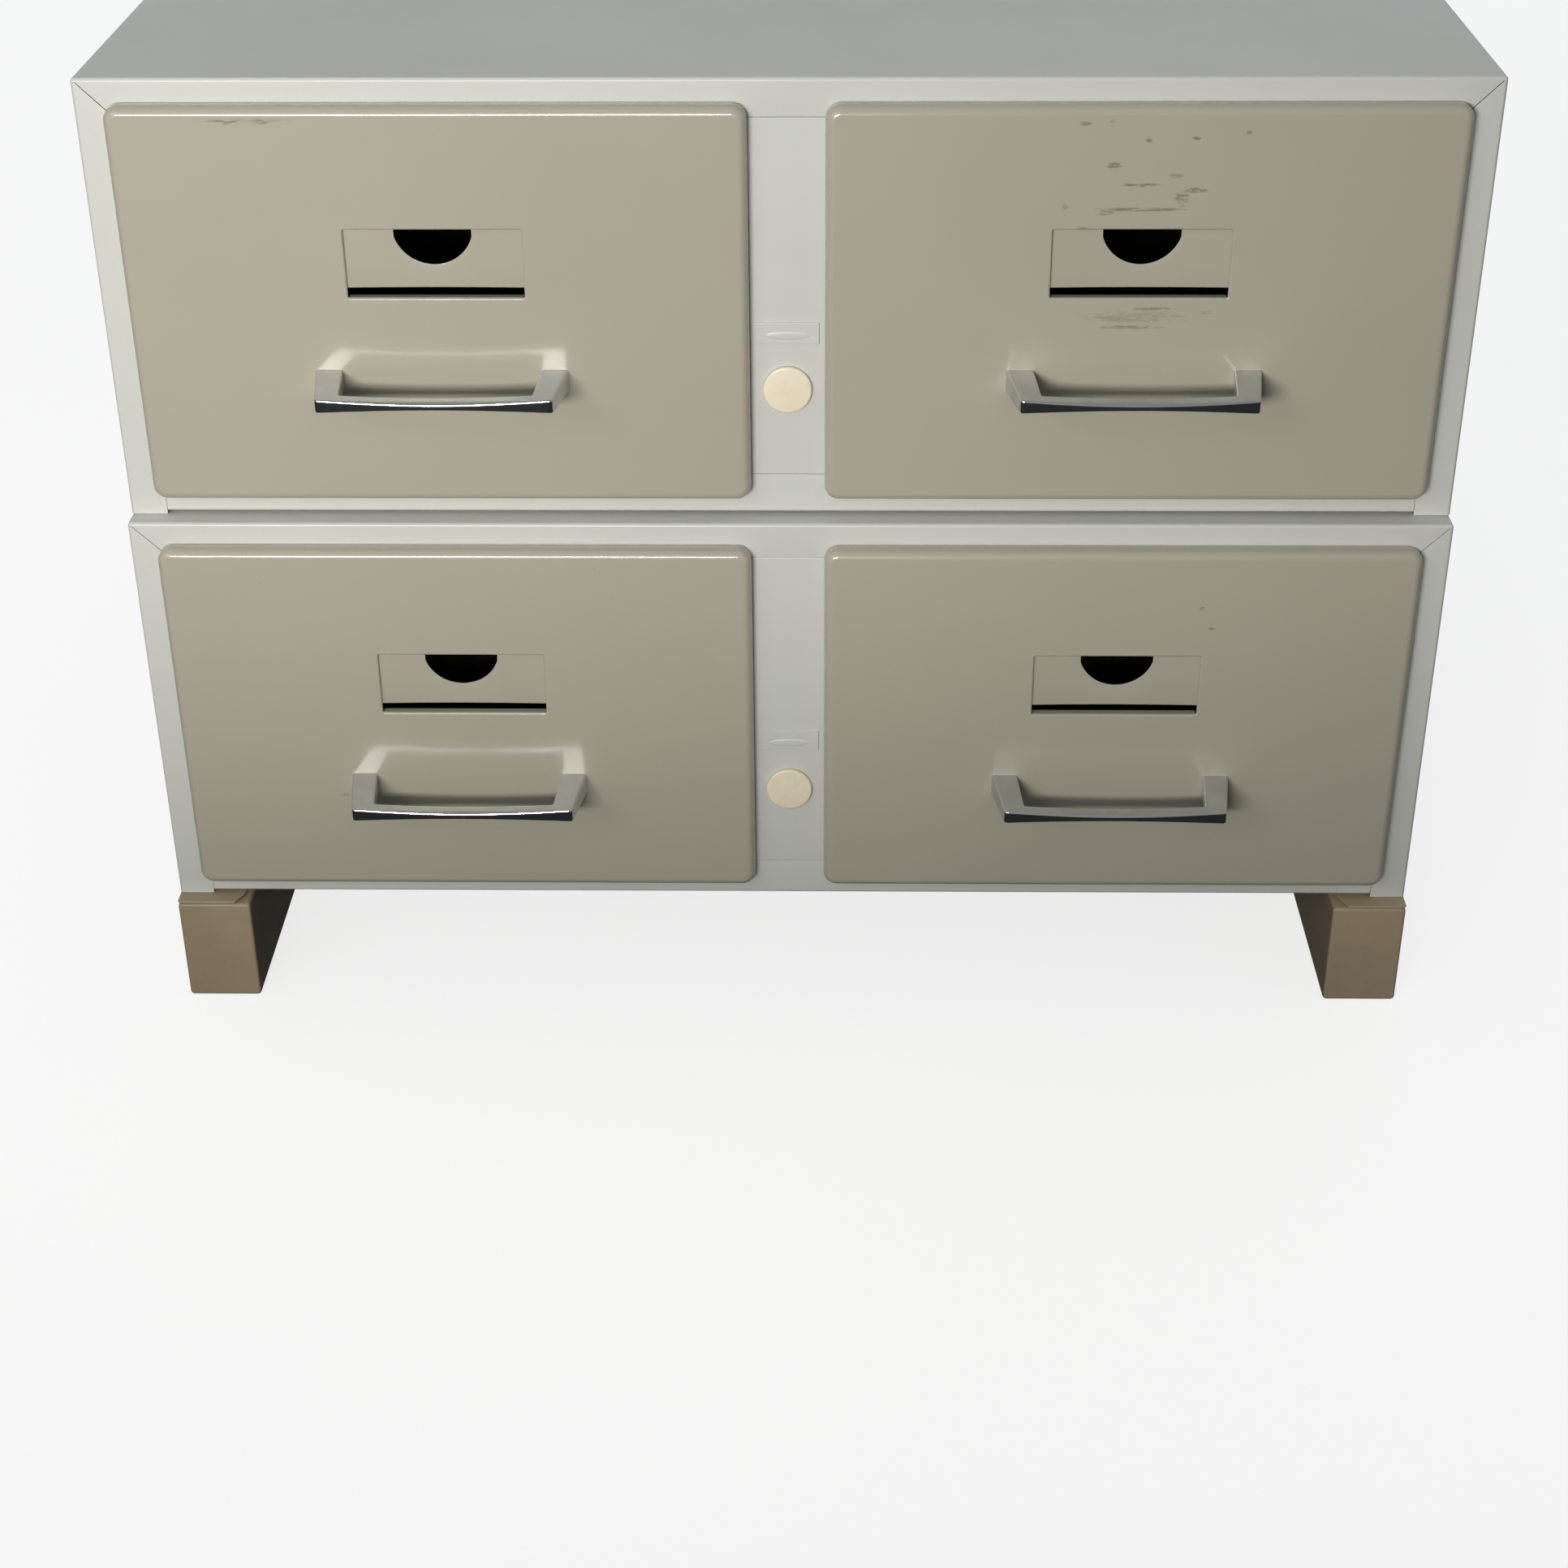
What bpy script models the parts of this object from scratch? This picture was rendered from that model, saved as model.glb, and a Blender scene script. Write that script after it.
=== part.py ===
"""Metal card-index cabinet: two stacked two-drawer modules on a pair of runner feet.

Metres, +Z up, the fronts face -Y, +X is to the right of someone facing the cabinet.
The origin is under the middle of the cabinet, on the surface it stands on.
"""
import math

import bmesh
import bpy

# ---------------------------------------------------------------- driving dimensions
MODULE_WIDTH = 0.600
MODULE_HEIGHT = 0.199
MODULE_DEPTH = 0.590
UPPER_SETBACK = 0.010      # the upper module stands this far behind the lower one
FOOT_HEIGHT = 0.0555
FOOT_WIDTH = 0.0355
FOOT_OVERHANG = 0.008      # how far the feet reach out in front of the lower module
FIT_GAP = 0.0003           # clearance between parts that touch
SHEET = 0.0012             # steel sheet of the casings
FOOT_SHEET = 0.0015
BACK_INSET = 0.0012        # the back panel sits this far inside the casing's rear edge
BACK_FOLD = 0.012          # its edges are folded forwards by this much
FLOOR_BACK_INSET = 0.003   # the floor sheet ends this far before the casing's rear edge

# front frame
FLANGE_WIDTH = 0.0165      # side flanges and top rail, mitred where they meet
BOTTOM_RAIL_LIFT = 0.0013  # the bottom rail sits this much above the side flanges' ends
BOTTOM_RAIL_TOP = 0.0196
POST_HALF_WIDTH = 0.0195
POST_FOLD_DEPTH = 0.020
PARTITION_START = 0.0215   # behind the post's folds
PARTITION_BACK_GAP = 0.015
LOCK_HOLE_RADIUS = 0.0095
LOCK_HEIGHT = 0.061        # above the module's own bottom
CAP_RADIUS = 0.0108
CAP_RISE = 0.0026          # how far the cap's dome stands out
CAP_STEM_RADIUS = 0.0092
CAP_STEM_LENGTH = 0.004
NAMEPLATE_SIZE = (0.028, 0.0008, 0.010)
NAMEPLATE_HEIGHT = 0.087
NAMEPLATE_CORNER = 0.0006

# drawers
FRONT_PROUD = 0.0085       # the drawer front stands out this far from the frame
FRONT_GAP = 0.0008         # air behind the closed drawer front
FRONT_LEFT = 0.0132        # from the module's side to the drawer front
FRONT_INNER = 0.0165       # from the middle of the module to the drawer front
FRONT_BOTTOM = 0.0102
FRONT_TOP = 0.010
FRONT_CORNER = 0.0065      # radius of the front's outline
FRONT_ROUNDING = 0.004     # radius of its face edge
FRONT_SHEET = 0.0012
TRAY_HALF_WIDTH = 0.119
TRAY_BOTTOM = 0.024
TRAY_HEIGHT = 0.112
TRAY_LENGTH = 0.560
TRAY_SHEET = 0.0010
FACEPLATE_SIZE = (0.262, 0.160)
LABEL_OPENING = (0.080, 0.046)   # hole in the tray's front wall, behind the label window
LABEL_OPENING_BOTTOM = 0.100

# label holder
WINDOW_SIZE = (0.0766, 0.0304)
WINDOW_BOTTOM = 0.1059
LABEL_PLATE_WIDTH = 0.088
LABEL_PLATE_BOTTOM = 0.1101
LABEL_PLATE_TOP = 0.1426
LABEL_PLATE_THICKNESS = 0.0008
THUMB_NOTCH_RADIUS = 0.0175
THUMB_NOTCH_HEIGHT = 0.1378

# handle: broad legs that lean inwards and get thinner forwards, a grip that is thinnest in its middle
HANDLE_HEIGHT = 0.0731     # top of the legs where they stand, above the module's bottom
HANDLE_BASE_HALF = 0.0558
HANDLE_GRIP_HALF = 0.0514
HANDLE_LEG_WIDTH = 0.0120
HANDLE_LEG_WIDTH_FRONT = 0.0095
HANDLE_REACH = 0.0307
HANDLE_BOW = 0.0005
HANDLE_GRIP_DEPTH = 0.0058
HANDLE_BASE_THICKNESS = 0.0098
HANDLE_END_THICKNESS = 0.0060
HANDLE_MID_THICKNESS = 0.0036
HANDLE_EDGE = 0.0005

# telescopic slides, each a cabinet member, a middle member and a drawer member
SLIDE_HEIGHT = 0.060       # middle of the slides above the module's bottom
CABINET_RAIL_SPAN = (0.022, 0.564)
MIDDLE_RAIL_SPAN = (0.006, 0.556)
DRAWER_RAIL_SPAN = (0.004, 0.556)
SLIDE_SHEET = 0.0012
SLIDE_CLEARANCE = 0.0008
DRAWER_RAIL_HALF_HEIGHT = 0.0112
DRAWER_RAIL_DEPTH = 0.0049
CABINET_RAIL_LIP = 0.0027  # its lips end this far from the tray's side
CABINET_RAIL_FOOT = 0.008  # its wall plate reaches this far below the middle of the slides

THROUGH = 0.02             # how far a cutter reaches past what it cuts

# ---------------------------------------------------------------- derived places
HALF_WIDTH = MODULE_WIDTH / 2
HANDLE_FRONT = FRONT_PROUD + HANDLE_REACH + HANDLE_BOW
CABINET_LENGTH = HANDLE_FRONT + UPPER_SETBACK + MODULE_DEPTH
LOWER_FRONT_Y = HANDLE_FRONT - CABINET_LENGTH / 2
BAY_CENTRE = (HALF_WIDTH - FRONT_LEFT + FRONT_INNER) / 2
FRONT_WIDTH = HALF_WIDTH - FRONT_LEFT - FRONT_INNER
FRONT_HEIGHT = MODULE_HEIGHT - FRONT_BOTTOM - FRONT_TOP
MODULES = {
    "lower": (LOWER_FRONT_Y, FOOT_HEIGHT + FIT_GAP),
    "upper": (LOWER_FRONT_Y + UPPER_SETBACK, FOOT_HEIGHT + MODULE_HEIGHT + 2 * FIT_GAP),
}
SIDES = {"left": -1, "right": 1}


# ---------------------------------------------------------------- scene and materials
def clear_scene():
    for obj in list(bpy.data.objects):
        bpy.data.objects.remove(obj)


def new_collection(name):
    collection = bpy.data.collections.new(name)
    bpy.context.scene.collection.children.link(collection)
    return collection


def make_material(name, colour, roughness, metallic=0.0):
    material = bpy.data.materials.new(name)
    material.use_nodes = True
    shader = material.node_tree.nodes["Principled BSDF"]
    shader.inputs["Base Color"].default_value = (*colour, 1.0)
    shader.inputs["Roughness"].default_value = roughness
    shader.inputs["Metallic"].default_value = metallic
    material.diffuse_color = (*colour, 1.0)
    return material


clear_scene()
CABINET = new_collection("metal_filing_cabinet")
CUTTERS = new_collection("cutters")
FRAME_PAINT = make_material("frame_enamel", (0.60, 0.61, 0.57), 0.45)
DRAWER_PAINT = make_material("drawer_enamel", (0.38, 0.35, 0.28), 0.35)
INNER_PAINT = make_material("inner_enamel", (0.28, 0.27, 0.23), 0.5)
FOOT_PAINT = make_material("foot_enamel", (0.22, 0.17, 0.11), 0.5)
CHROME = make_material("satin_chrome", (0.72, 0.72, 0.72), 0.25, 1.0)
ZINC = make_material("zinc_plate", (0.55, 0.56, 0.58), 0.4, 1.0)
IVORY = make_material("ivory_plastic", (0.78, 0.69, 0.50), 0.35)


# ---------------------------------------------------------------- modelling helpers
def add_object(name, mesh, material, parent=None, location=(0, 0, 0), collection=CABINET):
    obj = bpy.data.objects.new(name, mesh)
    mesh.materials.append(material)
    collection.objects.link(obj)
    obj.parent = parent
    obj.location = location
    return obj


def add_empty(name, location, parent=None):
    empty = bpy.data.objects.new(name, None)
    CABINET.objects.link(empty)
    empty.parent = parent
    empty.location = location
    return empty


def mesh_from(name, bm):
    bmesh.ops.recalc_face_normals(bm, faces=bm.faces)
    mesh = bpy.data.meshes.new(name)
    bm.to_mesh(mesh)
    bm.free()
    return mesh


def box_mesh(name, low, high):
    bm = bmesh.new()
    bmesh.ops.create_cube(bm, size=1.0)
    for vert in bm.verts:
        vert.co = [a + (b - a) * (c + 0.5) for a, b, c in zip(low, high, vert.co)]
    return mesh_from(name, bm)


def sheet_mesh(name, panels, outward):
    """An open surface of flat panels that share their folds; the first one faces outward."""
    bm = bmesh.new()
    for outline in panels:
        bm.faces.new([bm.verts.new(point) for point in outline])
    bmesh.ops.remove_doubles(bm, verts=bm.verts, dist=1e-6)
    bmesh.ops.recalc_face_normals(bm, faces=bm.faces)
    bm.faces.ensure_lookup_table()
    if bm.faces[0].normal.dot(outward) < 0:
        bmesh.ops.reverse_faces(bm, faces=bm.faces)
    mesh = bpy.data.meshes.new(name)
    bm.to_mesh(mesh)
    bm.free()
    return mesh


def slab_mesh(name, outline, low, high, axis):
    """A closed outline, given in the two other axes' order, extruded along axis."""
    def place(point, level):
        point = list(point)
        point.insert(axis, level)
        return point
    bm = bmesh.new()
    face = bm.faces.new([bm.verts.new(place(point, low)) for point in outline])
    grown = bmesh.ops.extrude_face_region(bm, geom=[face])["geom"]
    shift = [0.0, 0.0, 0.0]
    shift[axis] = high - low
    bmesh.ops.translate(bm, verts=[g for g in grown if isinstance(g, bmesh.types.BMVert)], vec=shift)
    return mesh_from(name, bm)


def arc(centre, radius, start, end, steps):
    """Points on an arc, angles in degrees."""
    angles = [math.radians(start + (end - start) * i / steps) for i in range(steps + 1)]
    return [(centre[0] + radius * math.cos(a), centre[1] + radius * math.sin(a)) for a in angles]


def rounded_rectangle(half_width, half_height, radius, steps):
    points = []
    for quarter, (sx, sz) in enumerate([(1, 1), (-1, 1), (-1, -1), (1, -1)]):
        centre = (sx * (half_width - radius), sz * (half_height - radius))
        points += arc(centre, radius, 90 * quarter, 90 * quarter + 90, steps)
    return points


def solidify(obj, thickness):
    modifier = obj.modifiers.new("sheet", "SOLIDIFY")
    modifier.thickness = thickness
    modifier.offset = -1.0
    modifier.use_even_offset = True


def cut(obj, cutter, operation="DIFFERENCE"):
    modifier = obj.modifiers.new(operation.lower(), "BOOLEAN")
    modifier.operation = operation
    modifier.solver = "EXACT"
    modifier.object = cutter
    cutter.hide_render = True
    cutter.display_type = "WIRE"


# ---------------------------------------------------------------- casing of a module
def casing(name, parent):
    """One sheet folded into left side, top and right side, with a mitred front flange."""
    w, h, d, f, g = HALF_WIDTH, MODULE_HEIGHT, MODULE_DEPTH, FLANGE_WIDTH, FIT_GAP
    panels = [[(-w, 0, 0), (-w, 0, h), (-w, d, h), (-w, d, 0)],
              [(w, 0, 0), (w, d, 0), (w, d, h), (w, 0, h)],
              [(-w, 0, h), (w, 0, h), (w, d, h), (-w, d, h)],
              [(-w, 0, h), (-w + f + g, 0, h - f), (w - f - g, 0, h - f), (w, 0, h)]]
    for side in (-w, w):
        lip = side - math.copysign(f, side)
        panels.append([(side, 0, 0), (lip, 0, 0), (lip, 0, h - f - g), (side, 0, h)])
    obj = add_object(name, sheet_mesh(name, panels, (-1, 0, 0)), FRAME_PAINT, parent)
    solidify(obj, SHEET)
    return obj


def bottom_panel(name, parent):
    """Floor sheet whose folded-up front edge is the bottom rail of the frame."""
    rail = HALF_WIDTH - FLANGE_WIDTH - FIT_GAP
    side = HALF_WIDTH - SHEET - FIT_GAP
    notch = SHEET + FIT_GAP
    back = MODULE_DEPTH - FLOOR_BACK_INSET
    z = BOTTOM_RAIL_LIFT
    floor = [(-rail, 0, z), (rail, 0, z), (rail, notch, z), (side, notch, z), (side, back, z),
             (-side, back, z), (-side, notch, z), (-rail, notch, z)]
    front = [(-rail, 0, z), (-rail, 0, BOTTOM_RAIL_TOP), (rail, 0, BOTTOM_RAIL_TOP), (rail, 0, z)]
    obj = add_object(name, sheet_mesh(name, [floor, front], (0, 0, -1)), FRAME_PAINT, parent)
    solidify(obj, SHEET)
    return obj


def back_panel(name, parent):
    """Shallow pan that closes the back, its edges folded forwards."""
    w = HALF_WIDTH - SHEET - FIT_GAP
    low = BOTTOM_RAIL_LIFT + SHEET + FIT_GAP
    high = MODULE_HEIGHT - SHEET - FIT_GAP
    y = MODULE_DEPTH - BACK_INSET
    fold = y - BACK_FOLD
    back = [(-w, y, low), (w, y, low), (w, y, high), (-w, y, high)]
    panels = [back]
    for a, b in zip(back, back[1:] + back[:1]):
        panels.append([a, b, (b[0], fold, b[2]), (a[0], fold, a[2])])
    obj = add_object(name, sheet_mesh(name, panels, (0, 1, 0)), FRAME_PAINT, parent)
    solidify(obj, SHEET)
    return obj


def centre_post(name, parent):
    """Channel between the drawers, bored for the lock that was never fitted."""
    w, deep = POST_HALF_WIDTH, POST_FOLD_DEPTH
    low = BOTTOM_RAIL_TOP + FIT_GAP
    high = MODULE_HEIGHT - FLANGE_WIDTH - FIT_GAP
    profile = [(-w, deep), (-w, 0), (w, 0), (w, deep)]
    panels = [[(*a, low), (*b, low), (*b, high), (*a, high)] for a, b in zip(profile, profile[1:])]
    obj = add_object(name, sheet_mesh(name, panels, (-1, 0, 0)), FRAME_PAINT, parent)
    solidify(obj, SHEET)
    circle = arc((0, LOCK_HEIGHT), LOCK_HOLE_RADIUS, 0, 345, 23)
    drill = add_object(name + "_lock_hole", slab_mesh(name + "_lock_hole", circle, -THROUGH / 2, THROUGH / 2, 1),
                       FRAME_PAINT, parent, collection=CUTTERS)
    cut(obj, drill)
    return obj


def partition(name, parent):
    """Wall behind the post that carries the inner slides."""
    low = (-SHEET / 2, PARTITION_START, BOTTOM_RAIL_LIFT + SHEET + FIT_GAP)
    high = (SHEET / 2, MODULE_DEPTH - PARTITION_BACK_GAP, MODULE_HEIGHT - SHEET - FIT_GAP)
    return add_object(name, box_mesh(name, low, high), FRAME_PAINT, parent)


def nameplate(name, parent):
    """Blank raised plate on the post."""
    width, thick, height = NAMEPLATE_SIZE
    outline = rounded_rectangle(width / 2, height / 2, NAMEPLATE_CORNER, 2)
    mesh = slab_mesh(name, outline, -FIT_GAP - thick, -FIT_GAP, 1)
    return add_object(name, mesh, FRAME_PAINT, parent, (0, 0, NAMEPLATE_HEIGHT))


def lock_hole_cap(name, parent):
    """Plastic plug with a softly domed head, turned about the lock hole's axis."""
    rim = [math.radians(angle) for angle in (0, 25, 50, 70)]
    dome = [(CAP_RADIUS * math.cos(a) ** 0.5, FIT_GAP + (CAP_RISE - FIT_GAP) * math.sin(a)) for a in rim[::-1]]
    profile = [(0.0, CAP_RISE)] + dome
    profile += [(CAP_STEM_RADIUS, FIT_GAP), (CAP_STEM_RADIUS, -CAP_STEM_LENGTH), (0.0, -CAP_STEM_LENGTH)]
    bm = bmesh.new()
    verts = [bm.verts.new((r, 0, z)) for r, z in profile]
    for a, b in zip(verts, verts[1:]):
        bm.edges.new((a, b))
    mesh = bpy.data.meshes.new(name)
    bm.to_mesh(mesh)
    bm.free()
    obj = add_object(name, mesh, IVORY, parent, (0, 0, LOCK_HEIGHT))
    obj.rotation_euler = (math.radians(90), 0, 0)
    turn = obj.modifiers.new("turn", "SCREW")
    turn.steps = turn.render_steps = 24
    turn.use_merge_vertices = True
    turn.merge_threshold = 0.00005
    return obj


# ---------------------------------------------------------------- drawers
def drawer_front(name, parent):
    """Pressed steel pan: rounded face edge, open at the back, with the label window."""
    levels = 4
    half = (FRONT_WIDTH / 2, FRONT_HEIGHT / 2)
    middle = FRONT_BOTTOM + half[1]
    bm = bmesh.new()
    rings = []
    steps = [(0.0, -FRONT_GAP)]
    for i in range(levels + 1):
        angle = math.radians(90 * i / levels)
        inset = FRONT_ROUNDING * (1 - math.cos(angle))
        depth = -FRONT_PROUD + FRONT_ROUNDING * (1 - math.sin(angle))
        steps.append((inset, depth))
    for inset, depth in steps:
        outline = rounded_rectangle(half[0] - inset, half[1] - inset, FRONT_CORNER - inset, 4)
        rings.append([bm.verts.new((x, depth, z + middle)) for x, z in outline])
    for a, b in zip(rings, rings[1:]):
        for i in range(len(a)):
            j = (i + 1) % len(a)
            bm.faces.new((a[i], a[j], b[j], b[i]))
    bm.faces.new(rings[-1])
    obj = add_object(name, mesh_from(name, bm), DRAWER_PAINT, parent)
    solidify(obj, FRONT_SHEET)
    low = (-WINDOW_SIZE[0] / 2, -THROUGH, WINDOW_BOTTOM)
    high = (WINDOW_SIZE[0] / 2, THROUGH, WINDOW_BOTTOM + WINDOW_SIZE[1])
    window = add_object(name + "_window", box_mesh(name + "_window", low, high), DRAWER_PAINT,
                        parent, collection=CUTTERS)
    cut(obj, window)
    return obj


def label_plate(name, parent):
    """Backing plate of the label holder, with the thumb notch at its top."""
    half = LABEL_PLATE_WIDTH / 2
    reach = LABEL_PLATE_TOP - THUMB_NOTCH_HEIGHT
    start = math.degrees(math.asin(reach / THUMB_NOTCH_RADIUS))
    notch = arc((0, THUMB_NOTCH_HEIGHT), THUMB_NOTCH_RADIUS, start, -180 - start, 12)
    outline = [(-half, LABEL_PLATE_BOTTOM), (half, LABEL_PLATE_BOTTOM), (half, LABEL_PLATE_TOP)]
    outline += notch + [(-half, LABEL_PLATE_TOP)]
    front = -FRONT_PROUD + FRONT_SHEET + FIT_GAP
    mesh = slab_mesh(name, outline, front, front + LABEL_PLATE_THICKNESS, 1)
    return add_object(name, mesh, DRAWER_PAINT, parent)


def handle(name, parent):
    """Bridge handle: flat legs that lean inwards and a grip that is thinnest in its middle."""
    def grip_line(half, reach, steps=10):
        return [(half * (2 * i / steps - 1), -reach - HANDLE_BOW * (1 - (2 * i / steps - 1) ** 2))
                for i in range(steps + 1)]
    outer = grip_line(HANDLE_GRIP_HALF, HANDLE_REACH)
    inner_half = HANDLE_GRIP_HALF - HANDLE_LEG_WIDTH_FRONT
    inner = grip_line(inner_half, HANDLE_REACH - HANDLE_GRIP_DEPTH)
    outline = [(-HANDLE_BASE_HALF, -FIT_GAP)] + outer + [(HANDLE_BASE_HALF, -FIT_GAP)]
    outline += [(HANDLE_BASE_HALF - HANDLE_LEG_WIDTH, -FIT_GAP)] + inner[::-1]
    outline += [(-HANDLE_BASE_HALF + HANDLE_LEG_WIDTH, -FIT_GAP)]
    mesh = slab_mesh(name, outline, -0.5, 0.5, 2)
    for vert in mesh.vertices:
        half = HANDLE_GRIP_HALF if vert.co.y < HANDLE_GRIP_DEPTH / 2 - HANDLE_REACH else inner_half
        away = min(abs(vert.co.x) / half, 1.0)
        thickness = HANDLE_MID_THICKNESS + (HANDLE_END_THICKNESS - HANDLE_MID_THICKNESS) * away ** 2
        if vert.co.y > -HANDLE_REACH / 2:
            thickness = HANDLE_BASE_THICKNESS
        vert.co.z *= thickness
    place = (0, -FRONT_PROUD, HANDLE_HEIGHT - HANDLE_BASE_THICKNESS / 2)
    obj = add_object(name, mesh, CHROME, parent, place)
    edge = obj.modifiers.new("edge", "BEVEL")
    edge.width = HANDLE_EDGE
    edge.segments = 1
    edge.limit_method = "ANGLE"
    edge.angle_limit = math.radians(50)
    return obj


def tray(name, parent):
    """Open steel tray behind the front, with the plate that closes the front from inside."""
    w, t = TRAY_HALF_WIDTH, TRAY_SHEET
    front = -FRONT_GAP + FIT_GAP
    low, high = TRAY_BOTTOM, TRAY_BOTTOM + TRAY_HEIGHT
    outer = box_mesh(name, (-w, front, low), (w, front + TRAY_LENGTH, high))
    obj = add_object(name, outer, INNER_PAINT, parent)
    hollow = box_mesh(name + "_hollow", (-w + t, front + t, low + t), (w - t, front + TRAY_LENGTH - t, high + t))
    cut(obj, add_object(name + "_hollow", hollow, INNER_PAINT, parent, collection=CUTTERS))
    half_plate = FACEPLATE_SIZE[0] / 2
    plate_low = (BOTTOM_RAIL_TOP + MODULE_HEIGHT - FLANGE_WIDTH - FACEPLATE_SIZE[1]) / 2
    plate = box_mesh(name + "_plate", (-half_plate, front, plate_low),
                     (half_plate, front + t, plate_low + FACEPLATE_SIZE[1]))
    cut(obj, add_object(name + "_plate", plate, INNER_PAINT, parent, collection=CUTTERS), "UNION")
    half_hole, hole_height = LABEL_OPENING[0] / 2, LABEL_OPENING[1]
    hole = box_mesh(name + "_label_opening", (-half_hole, -THROUGH, LABEL_OPENING_BOTTOM),
                    (half_hole, THROUGH, LABEL_OPENING_BOTTOM + hole_height))
    cut(obj, add_object(name + "_label_opening", hole, INNER_PAINT, parent, collection=CUTTERS))
    return obj


# ---------------------------------------------------------------- slides
def slide_sections(wall):
    """Cross-sections of the three members, as (distance from the bay's middle, height)."""
    s, c, t = TRAY_HALF_WIDTH + FIT_GAP, SLIDE_CLEARANCE, SLIDE_SHEET
    drawer_top = DRAWER_RAIL_HALF_HEIGHT
    middle_top = drawer_top + c + t
    cabinet_top = middle_top + c + t
    drawer_tip = s + DRAWER_RAIL_DEPTH
    middle_out = drawer_tip + c + t
    cabinet_out = middle_out + c + t
    tip = s + t + FIT_GAP / 3
    cabinet_tip = s + CABINET_RAIL_LIP
    drawer = [(s, drawer_top), (drawer_tip, drawer_top), (drawer_tip, drawer_top - t),
              (s + t, drawer_top - t), (s + t, t - drawer_top), (drawer_tip, t - drawer_top),
              (drawer_tip, -drawer_top), (s, -drawer_top)]
    middle = [(tip, middle_top), (middle_out, middle_top), (middle_out, -middle_top),
              (tip, -middle_top), (tip, t - middle_top), (middle_out - t, t - middle_top),
              (middle_out - t, middle_top - t), (tip, middle_top - t)]
    foot = -CABINET_RAIL_FOOT
    cabinet = [(cabinet_tip, cabinet_top), (wall, cabinet_top), (wall, foot), (wall - t, foot),
               (wall - t, cabinet_top - t), (cabinet_out, cabinet_top - t), (cabinet_out, -cabinet_top),
               (cabinet_tip, -cabinet_top), (cabinet_tip, t - cabinet_top),
               (cabinet_out - t, t - cabinet_top), (cabinet_out - t, cabinet_top - t),
               (cabinet_tip, cabinet_top - t)]
    return {"cabinet": cabinet, "middle": middle, "drawer": drawer}


def slide_member(name, parent, section, side, span):
    outline = [(side * s, SLIDE_HEIGHT + z) for s, z in section]
    return add_object(name, slab_mesh(name, outline, *span, 1), ZINC, parent)


def drawer(module, side_name, module_frame):
    """One drawer with its two slides; its parts hang on empties at the drawer's joint."""
    bay_side = SIDES[side_name]
    tag = f"{module}_{side_name}"
    bay = add_empty(f"{tag}_bay", (bay_side * BAY_CENTRE, 0, 0), module_frame)
    drawer_axis = add_empty(f"{tag}_drawer_axis", (0, 0, 0), bay)
    middle_axis = add_empty(f"{tag}_slide_axis", (0, 0, 0), bay)
    drawer_front(f"{tag}_drawer_front", drawer_axis)
    label_plate(f"{tag}_label_plate", drawer_axis)
    handle(f"{tag}_handle", drawer_axis)
    tray(f"{tag}_tray", drawer_axis)
    for place, side in (("outer", bay_side), ("inner", -bay_side)):
        if place == "outer":
            wall = HALF_WIDTH - SHEET - FIT_GAP - BAY_CENTRE
        else:
            wall = BAY_CENTRE - SHEET / 2 - FIT_GAP
        sections = slide_sections(wall)
        slide_member(f"{tag}_{place}_cabinet_rail", bay, sections["cabinet"], side, CABINET_RAIL_SPAN)
        slide_member(f"{tag}_{place}_middle_rail", middle_axis, sections["middle"], side, MIDDLE_RAIL_SPAN)
        slide_member(f"{tag}_{place}_drawer_rail", drawer_axis, sections["drawer"], side, DRAWER_RAIL_SPAN)


# ---------------------------------------------------------------- feet
def runner_foot(name, side):
    """Folded steel runner under one side, closed at the front and open at the back."""
    outer = HALF_WIDTH
    inner = HALF_WIDTH - FOOT_WIDTH
    front = LOWER_FRONT_Y - FOOT_OVERHANG
    back = LOWER_FRONT_Y + MODULE_DEPTH
    t = FOOT_SHEET
    low = (min(side * outer, side * inner), front, 0.0)
    high = (max(side * outer, side * inner), back, FOOT_HEIGHT)
    obj = add_object(name, box_mesh(name, low, high), FOOT_PAINT)
    hollow = box_mesh(name + "_hollow", (low[0] + t, front + t, t), (high[0] - t, back + t, FOOT_HEIGHT - t))
    cut(obj, add_object(name + "_hollow", hollow, FOOT_PAINT, collection=CUTTERS))
    return obj


# ---------------------------------------------------------------- the cabinet
def build_cabinet():
    for side_name, side in SIDES.items():
        runner_foot(f"{side_name}_foot", side)
    for module, (front_y, bottom_z) in MODULES.items():
        module_frame = add_empty(f"{module}_module", (0, front_y, bottom_z))
        casing(f"{module}_casing", module_frame)
        bottom_panel(f"{module}_bottom_panel", module_frame)
        back_panel(f"{module}_back_panel", module_frame)
        centre_post(f"{module}_centre_post", module_frame)
        partition(f"{module}_partition", module_frame)
        nameplate(f"{module}_nameplate", module_frame)
        lock_hole_cap(f"{module}_lock_hole_cap", module_frame)
        for side_name in SIDES:
            drawer(module, side_name, module_frame)


build_cabinet()
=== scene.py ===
"""Looks of a steel card-index cabinet: two stacked modules with four drawers, on two runner feet.

Metres, +Z up, the fronts face -Y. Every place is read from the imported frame, so each piece made here
sits where its CAD solid sits, rides on the same body and follows the same joint.
"""
import math

import bmesh
import bpy
from mathutils import Matrix, Vector


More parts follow.
